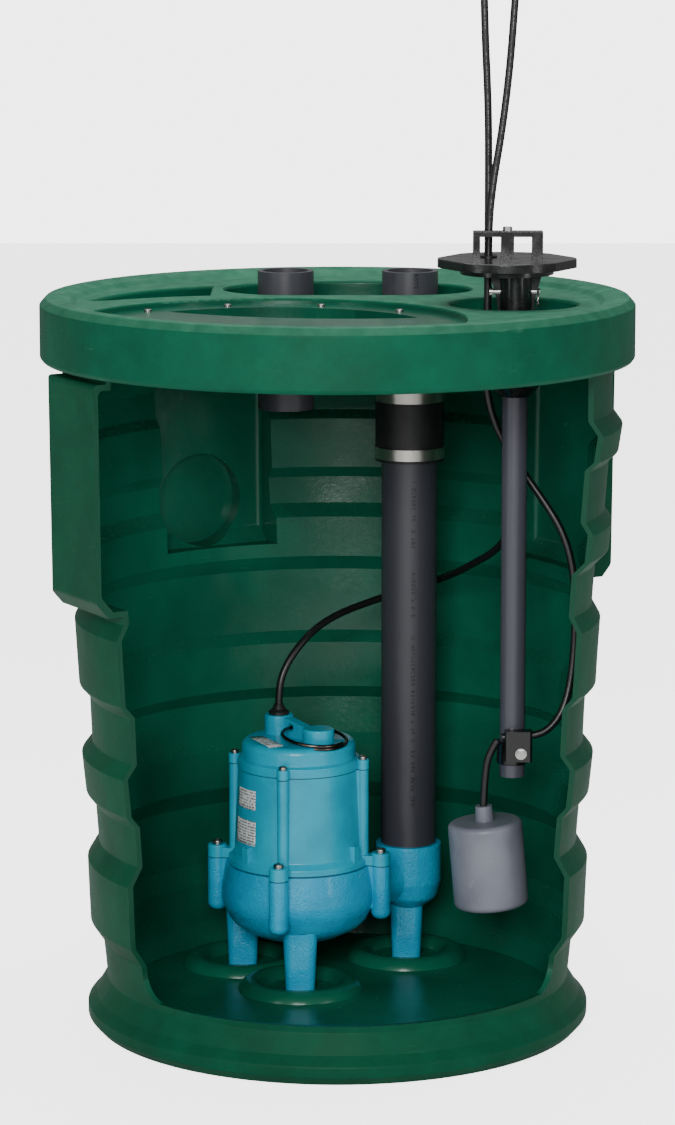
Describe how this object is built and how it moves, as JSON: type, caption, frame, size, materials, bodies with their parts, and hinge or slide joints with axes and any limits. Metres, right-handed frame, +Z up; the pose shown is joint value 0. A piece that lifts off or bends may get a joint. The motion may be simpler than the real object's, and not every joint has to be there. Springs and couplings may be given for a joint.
{
  "type": "submersible sump pump",
  "caption": "Submersible pump standing in a ribbed basin with a cut-away window, recessed lid, pipe stubs, discharge pipe, and a float switch hung from a lift-out cover.",
  "frame": {"origin": "centre of the basin's foot, on the surface it stands on", "axes": "+Z up along the basin's axis; the cut-away window faces -Y; the access cover is on the +X side"},
  "size_m": [0.62, 0.62, 1.15],
  "materials": {
    "green_basin": "rotomoulded polyethylene, satin",
    "green_lid": "moulded polyethylene, matt",
    "grey_pvc": "extruded PVC pipe",
    "black_rubber": "moulded rubber",
    "stainless": "stainless steel",
    "blue_enamel": "baked epoxy on cast iron",
    "gasket_fibre": "cut gasket",
    "lamination_steel": "stacked laminations",
    "copper_wire": "varnished copper windings",
    "seal_carbon": "carbon and ceramic seal",
    "impeller_iron": "cast iron",
    "black_plastic": "moulded plastic, semi-gloss",
    "float_grey": "polypropylene float",
    "cord_jacket": "rubber cord jacket",
    "plug_vinyl": "moulded vinyl",
    "plug_brass": "brass blades"
  },
  "bodies": {
    "root": {"basin": "green_basin", "lid": "green_lid", "lid_screws": "stainless", "stub_seals": "black_rubber", "vent_stub": "grey_pvc", "discharge_stub": "grey_pvc", "discharge_pipe": "grey_pvc", "pipe_coupling": "black_rubber", "coupling_clamps": "stainless", "volute": "blue_enamel", "motor_housing": "blue_enamel", "motor_cap": "blue_enamel", "cap_gasket": "gasket_fibre", "volute_gasket": "gasket_fibre", "cap_screws": "stainless", "volute_screws": "stainless", "cord_gland": "black_rubber", "stator": "lamination_steel", "stator_windings": "copper_wire", "upper_bearing": "stainless", "lower_bearing": "stainless", "shaft_seal": "seal_carbon", "pump_cord": "cord_jacket", "pump_plug": "plug_vinyl", "pump_plug_blades": "plug_brass"},
    "rotor": {"rotor_core": "lamination_steel", "motor_shaft": "stainless", "impeller": "impeller_iron", "impeller_nut": "stainless"},
    "bail": {"bail_ring": "stainless"},
    "cover": {"access_cover": "black_plastic", "cord_grommet": "black_rubber", "cover_handle": "black_plastic", "handle_bolt": "stainless", "hanger_socket": "black_plastic", "float_rod": "grey_pvc", "socket_pin": "stainless", "pin_rings": "stainless", "rod_collar": "black_plastic", "rod_clamp": "black_plastic", "clamp_bolt": "stainless", "float_cord": "cord_jacket", "float_plug": "plug_vinyl", "float_plug_blades": "plug_brass"},
    "float": {"float_shell": "float_grey", "float_neck": "float_grey", "switch_capsule": "float_grey", "switch_ball": "stainless", "float_tether": "cord_jacket"}
  },
  "joints": [
    {"name": "rotor_spin", "type": "hinge", "parent": "root", "child": "rotor", "pos_m": [-0.042, 0.065, 0.2], "axis": [0, 0, 1], "continuous": true},
    {"name": "bail_lift", "type": "hinge", "parent": "root", "child": "bail", "pos_m": [-0.04676, 0.07067, 0.2985], "axis": [-0.766, -0.6428, 0], "range_deg": [0, 95]},
    {"name": "cover_lift", "type": "slide", "parent": "root", "child": "cover", "axis": [0, 0, 1], "range_m": [-0.0378, 0.1]},
    {"name": "float_swing", "type": "hinge", "parent": "cover", "child": "float", "pos_m": [0.1685, -0.031, 0.306], "axis": [0, 1, 0], "range_deg": [-6, 65]}
  ]
}
